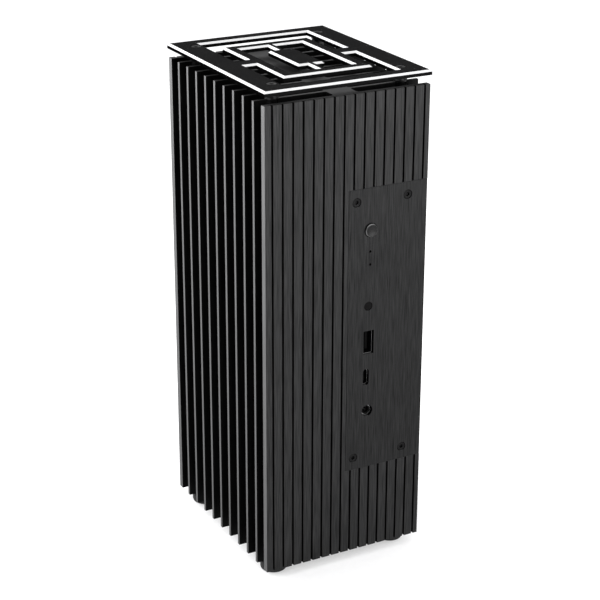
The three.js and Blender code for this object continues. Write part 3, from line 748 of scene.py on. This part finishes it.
# ---- the button and the small pieces beside it -----------------------------------------------
def add_power_button():
    low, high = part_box("power_button")
    proud = FRONT - low.y
    flange = half_width("power_button")
    flange_front = -3.55 * MM
    flange_back = flange_front - 1 * MM
    stem = 1.5 * MM
    stem_end = FRONT - high.y
    cap = 3.65 * MM
    brim = cap - 0.6 * MM
    chamfer = 0.4 * MM
    dish = 0.45 * MM
    dish_steps = 8
    face = [
        (brim * step / dish_steps, proud - dish * (1 - (step / dish_steps) ** 2))
        for step in (0.1, *range(1, dish_steps))
    ]
    rim = rounded([
        (brim, proud), (cap - chamfer, proud), (cap, proud - chamfer), (cap, flange_front),
        (flange, flange_front), (flange, flange_back), (stem, flange_back), (stem, stem_end),
    ], 0.08 * MM)
    # The chamfer round the cap is lighter, a painted highlight. It is found with a little slack on each
    # side.
    edge_inside = cap - chamfer - 0.05 * MM
    edge_low, edge_high = proud - chamfer - 0.02 * MM, proud - 0.01 * MM
    mesh = bmesh.new()
    loft(mesh, rings_along([*face, *rim]))
    for part in mesh.faces:
        middle = part.calc_center_median()
        if middle.xy.length > edge_inside and edge_low < middle.z < edge_high:
            part.material_index = 1
    finish_piece(
        "power_button_cap", mesh, on_face("power_button", 1), ["button", "button_edge_highlight"],
        ["power_button"], "power_button")


# Where the collars of the window and the light pipes start, measured out from the plate's face.
COLLAR_START = -3.5 * MM


def add_infrared_window():
    low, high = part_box("infrared_window")
    face = FRONT - low.y
    lens = 2.35 * MM
    collar = half_width("infrared_window")
    profile = [
        (0.05 * MM, face + 0.1 * MM), (1.2 * MM, face + 0.06 * MM), (lens - 0.15 * MM, face),
        (lens, face - 0.2 * MM), (lens, COLLAR_START), (collar, COLLAR_START), (collar, FRONT - high.y),
    ]
    turned_piece(
        "infrared_lens", profile, on_face("infrared_window", 1), "window",
        ["infrared_window"], 0.08 * MM)


def add_light_pipe(number):
    node = f"light_pipe_{number}"
    rod = 0.55 * MM
    collar = 1.2 * MM
    collar_end = COLLAR_START - 0.7 * MM
    profile = [
        (0.02 * MM, -0.8 * MM), (rod * 0.7, -0.84 * MM), (rod, -1 * MM), (rod, COLLAR_START),
        (collar, COLLAR_START), (collar, collar_end), (rod, collar_end), (rod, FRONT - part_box(node)[1].y),
    ]
    turned_piece(
        f"light_guide_{number}", profile, on_face(node, 1), "light_pipe", [node],
        0.05 * MM)


def add_aerial_plug(number):
    node = f"aerial_hole_plug_{number}"
    low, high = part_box(node)
    radius = half_width(node)
    proud = high.y + FRONT
    stem = 3 * MM
    lip = 0.1 * MM
    profile = [
        (0.05 * MM, proud), (radius - 0.8 * MM, proud - 0.05 * MM), (radius - 0.1 * MM, proud - 0.5 * MM),
        (radius, lip), (stem, lip), (stem, low.y + FRONT),
    ]
    turned_piece(
        f"aerial_hole_grommet_{number}", profile, on_face(node, -1), "rubber", [node],
        0.3 * MM)


def add_small_pieces():
    add_power_button()
    add_infrared_window()
    for number in (1, 2):
        add_light_pipe(number)
    for number in (1, 2):
        add_aerial_plug(number)


# ---- what the sockets share ------------------------------------------------------------------
SOCKET_MATERIALS = ["socket_steel", "plastic", "gold", "socket_dark"]
STEEL, PLASTIC, GOLD, DARK = 0, 1, 2, 3
SHELL_WALL = 0.35 * MM
# How far behind a socket's mouth its thin tongue's tip is.
TIP_DEPTH = 1.2 * MM
# How far before a socket's back the tongue's root and the shell's floor are.
ROOT_GAP = 1 * MM
FLOOR_GAP = 1.5 * MM
# How far the contacts stay from the mouth and from the back.
CONTACT_GAP = 1.6 * MM


def folded_shell(mesh, outline, depth, floor_depth, wall=SHELL_WALL):
    """A sleeve with a bright rolled mouth, darkened inside as painted shade, and a closed back.

    outline(inset, height) gives its rings.
    """
    roll = wall * 0.3
    rings = [
        outline(0, -depth), outline(0, -roll), outline(wall * 0.1, 0), outline(wall * 0.85, 0),
        outline(wall, -roll), outline(wall, -floor_depth),
    ]
    loft(mesh, rings, STEEL, inside=DARK, inside_from=-wall)


def rounded_sleeve(width, height, radius, centre=(0, 0)):
    def outline(inset, level):
        return rounded_box_ring(width - 2 * inset, height - 2 * inset, radius - inset * 0.9, level, centre)
    return outline


def contact_row(mesh, count, pitch, x, depth_from, depth_to, width, thick):
    """Flat springs side by side along local Y, lying on a tongue's face at x."""
    for index in range(count):
        y = (index - (count - 1) / 2) * pitch
        low = (min(x, x + thick), y - width / 2, -depth_to)
        high = (max(x, x + thick), y + width / 2, -depth_from)
        block(mesh, low, high, 0.05 * MM, GOLD)


def socket_piece(name, node, side, mesh):
    finish_piece(
        name, mesh, on_face(node, side, MOUTH_DEPTH), SOCKET_MATERIALS, [node])


# ---- USB sockets -----------------------------------------------------------------------------
def usb_a_tongue(mesh, x, floor_depth):
    """The tongue of one wide port centred at x, with its four contacts on the open side."""
    start = 3 * MM
    end = floor_depth + 0.5 * MM
    face = x + 0.1 * MM
    back = x + 1.9 * MM
    half = 5.5 * MM
    block(mesh, (face, -half, -end), (back, half, -start), 0.25 * MM, PLASTIC)
    contact_row(mesh, 4, 2.4 * MM, face, start + 2.5 * MM, floor_depth, 1 * MM, -0.12 * MM)


def add_usb_a():
    low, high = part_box("front_usb_a_socket")
    depth = high.y - low.y
    floor_depth = depth - 1.6 * MM
    mesh = bmesh.new()
    sleeve = rounded_sleeve(high.x - low.x, high.z - low.z, 0.7 * MM)
    folded_shell(mesh, sleeve, depth, floor_depth)
    usb_a_tongue(mesh, 0, floor_depth)
    socket_piece("front_usb_a_port", "front_usb_a_socket", 1, mesh)


def add_usb_a_pair():
    low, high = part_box("rear_usb_a_sockets")
    depth = high.y - low.y
    floor_depth = depth - 2 * MM
    port_width = (high.x - low.x) / 2
    gap = 0.02 * MM
    mesh = bmesh.new()
    for side in (-1, 1):
        x = side * port_width / 2
        sleeve = rounded_sleeve(port_width - gap, high.z - low.z, 0.6 * MM, (x, 0))
        folded_shell(mesh, sleeve, depth, floor_depth)
        usb_a_tongue(mesh, x, floor_depth)
    socket_piece("rear_usb_a_ports", "rear_usb_a_sockets", -1, mesh)


def add_usb_c(node, name, side):
    low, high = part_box(node)
    depth = high.y - low.y
    width = high.x - low.x
    tongue = 0.35 * MM
    half = 3.3 * MM
    mesh = bmesh.new()
    sleeve = rounded_sleeve(width, high.z - low.z, width * 0.49)
    folded_shell(mesh, sleeve, depth, depth - FLOOR_GAP, wall=0.3 * MM)
    block(mesh, (-tongue, -half, ROOT_GAP - depth), (tongue, half, -TIP_DEPTH), 0.12 * MM, PLASTIC)
    for face in (-1, 1):
        contact_row(
            mesh, 12, 0.5 * MM, face * tongue, CONTACT_GAP, depth - CONTACT_GAP, 0.25 * MM,
            face * 0.04 * MM)
    socket_piece(name, node, side, mesh)


# ---- video and network sockets ---------------------------------------------------------------
# The outline of a video socket: a long box with two slanted corners.
def video_outline(inset, level):
    across = 2.55 * MM - inset
    slant_from = 0.4 * MM
    narrow, wide = 5.75 * MM - inset, 7.3 * MM - inset
    corners = [
        (-across, narrow), (-across, -narrow), (slant_from, -wide),
        (across, -wide), (across, wide), (slant_from, wide),
    ]
    return [Vector((*corner, level)) for corner in corners]


def add_video_socket():
    low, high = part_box("rear_hdmi_socket")
    depth = high.y - low.y
    tongue_low, tongue_high = -0.4 * MM, 0.7 * MM
    half = 5 * MM
    mesh = bmesh.new()
    folded_shell(mesh, video_outline, depth, depth - FLOOR_GAP)
    block(
        mesh, (tongue_low, -half, ROOT_GAP - depth), (tongue_high, half, -TIP_DEPTH),
        0.15 * MM, PLASTIC)
    for x, thick, count in ((tongue_low, -0.05 * MM, 10), (tongue_high, 0.05 * MM, 9)):
        contact_row(
            mesh, count, 1 * MM, x, CONTACT_GAP, depth - CONTACT_GAP, 0.45 * MM, thick)
    socket_piece("rear_video_port", "rear_hdmi_socket", -1, mesh)


# A network jack: a square can whose opening has a notch for the plug's latch, with eight springs
# opposite it.
def add_network_socket():
    low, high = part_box("rear_lan_socket")
    depth = high.y - low.y
    half_x, half_z = (high.x - low.x) / 2, (high.z - low.z) / 2
    left, right, latch = -5.2 * MM, 2.8 * MM, 5.4 * MM
    wide, narrow = 5.95 * MM, 3.1 * MM
    floor_depth = 13 * MM
    soft = 0.3 * MM

    def can(inset, level):
        x, z = half_x - inset, half_z - inset
        corners = [
            (-x, -z), (right, -z), (x, -z), (x, -narrow),
            (x, narrow), (x, z), (right, z), (-x, z),
        ]
        return [Vector((*corner, level)) for corner in corners]

    def opening(level):
        corners = [
            (left, -wide), (right, -wide), (right, -narrow), (latch, -narrow),
            (latch, narrow), (right, narrow), (right, wide), (left, wide),
        ]
        return [Vector((*corner, level)) for corner in corners]

    mesh = bmesh.new()
    rings = [can(0, -depth), can(0, -soft), can(soft, 0), opening(0), opening(-floor_depth)]
    loft(mesh, rings, STEEL)
    contact_row(mesh, 8, 1.02 * MM, left + 0.2 * MM, 2 * MM, 11 * MM, 0.45 * MM, 0.25 * MM)
    block(
        mesh, (left, -wide, -floor_depth), (right, wide, 1 * MM - floor_depth), 0.2 * MM, PLASTIC)
    socket_piece("rear_network_port", "rear_lan_socket", -1, mesh)


# ---- round sockets ---------------------------------------------------------------------------
def inlet_body(mesh, box, axis, nose, well, nose_length, rim):
    """A round nose with a well in it and a square body behind it.

    axis is where the centre line is, in X and Z. nose is the nose's radius, well is the well's radius
    and depth, and rim is the material of the nose's outer edge.
    """
    low, high = box
    depth = high.y - low.y
    well_radius, well_depth = well
    flare, flare_depth = 0.3 * MM, 0.35 * MM
    soft = 0.15 * MM
    rim_width = 0.35 * MM
    mouth = [
        (well_radius * 0.2, -well_depth), (well_radius, -well_depth), (well_radius, -flare_depth),
        (well_radius + flare, 0), (nose - rim_width, 0), (nose - soft, 0), (nose, -soft),
        (nose, -nose_length),
    ]
    body_low, body_high = (low.x - axis[0], low.z - axis[1]), (high.x - axis[0], high.z - axis[1])
    body = [box_ring(body_low, body_high, level) for level in (-nose_length, -depth)]
    loft(mesh, rings_along(mouth) + body, PLASTIC)
    for face in mesh.faces:
        middle = face.calc_center_median()
        if middle.z > -soft and middle.xy.length > nose - rim_width:
            face.material_index = rim


def add_audio_socket():
    node = "front_audio_socket"
    low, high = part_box(node)
    axis = (high.x - 3.3 * MM, low.z + 3 * MM)
    well = 1.8 * MM
    spring_root = well - 0.02 * MM
    spring = [(spring_root, -2 * MM), (well - 0.5 * MM, -4 * MM), (spring_root, -6 * MM)]
    mesh = bmesh.new()
    inlet_body(mesh, (low, high), axis, 3 * MM, (well, 13.5 * MM), 5 * MM, STEEL)
    loft(mesh, rings_along(spring), STEEL, closed=True)
    finish_piece(
        "front_audio_port", mesh, face_frame(*axis, 1, MOUTH_DEPTH), SOCKET_MATERIALS,
        [node])


def add_power_inlet():
    node = "rear_dc_inlet"
    low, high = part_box(node)
    axis = (high.x - 4.6 * MM, (low.z + high.z) / 2)
    well_depth = 11.5 * MM
    pin = 1 * MM
    point = [(pin, -well_depth), (pin, -2 * MM), (pin * 0.6, -1.5 * MM)]
    mesh = bmesh.new()
    inlet_body(mesh, (low, high), axis, 4 * MM, (3.1 * MM, well_depth), 2.7 * MM, PLASTIC)
    loft(mesh, rings_along(point), STEEL)
    finish_piece(
        "rear_power_port", mesh, face_frame(*axis, -1, MOUTH_DEPTH), SOCKET_MATERIALS,
        [node])


def add_sockets():
    add_usb_a()
    add_usb_a_pair()
    add_usb_c("front_usb_c_socket", "front_usb_c_port", 1)
    add_usb_c("rear_usb_c_socket", "rear_usb_c_port", -1)
    add_video_socket()
    add_network_socket()
    add_audio_socket()
    add_power_inlet()


# ---- the whole object ------------------------------------------------------------------------
add_camera()
MATERIALS = {**case_materials(), **metal_materials(), **other_materials()}
add_floor()
add_sky()
for softbox_name, softbox in SOFTBOXES.items():
    add_softbox(softbox_name, *softbox)
scene.view_settings.view_transform = "Standard"

dress_case()
dress_insides()
add_corner_pieces()
add_small_pieces()
add_sockets()
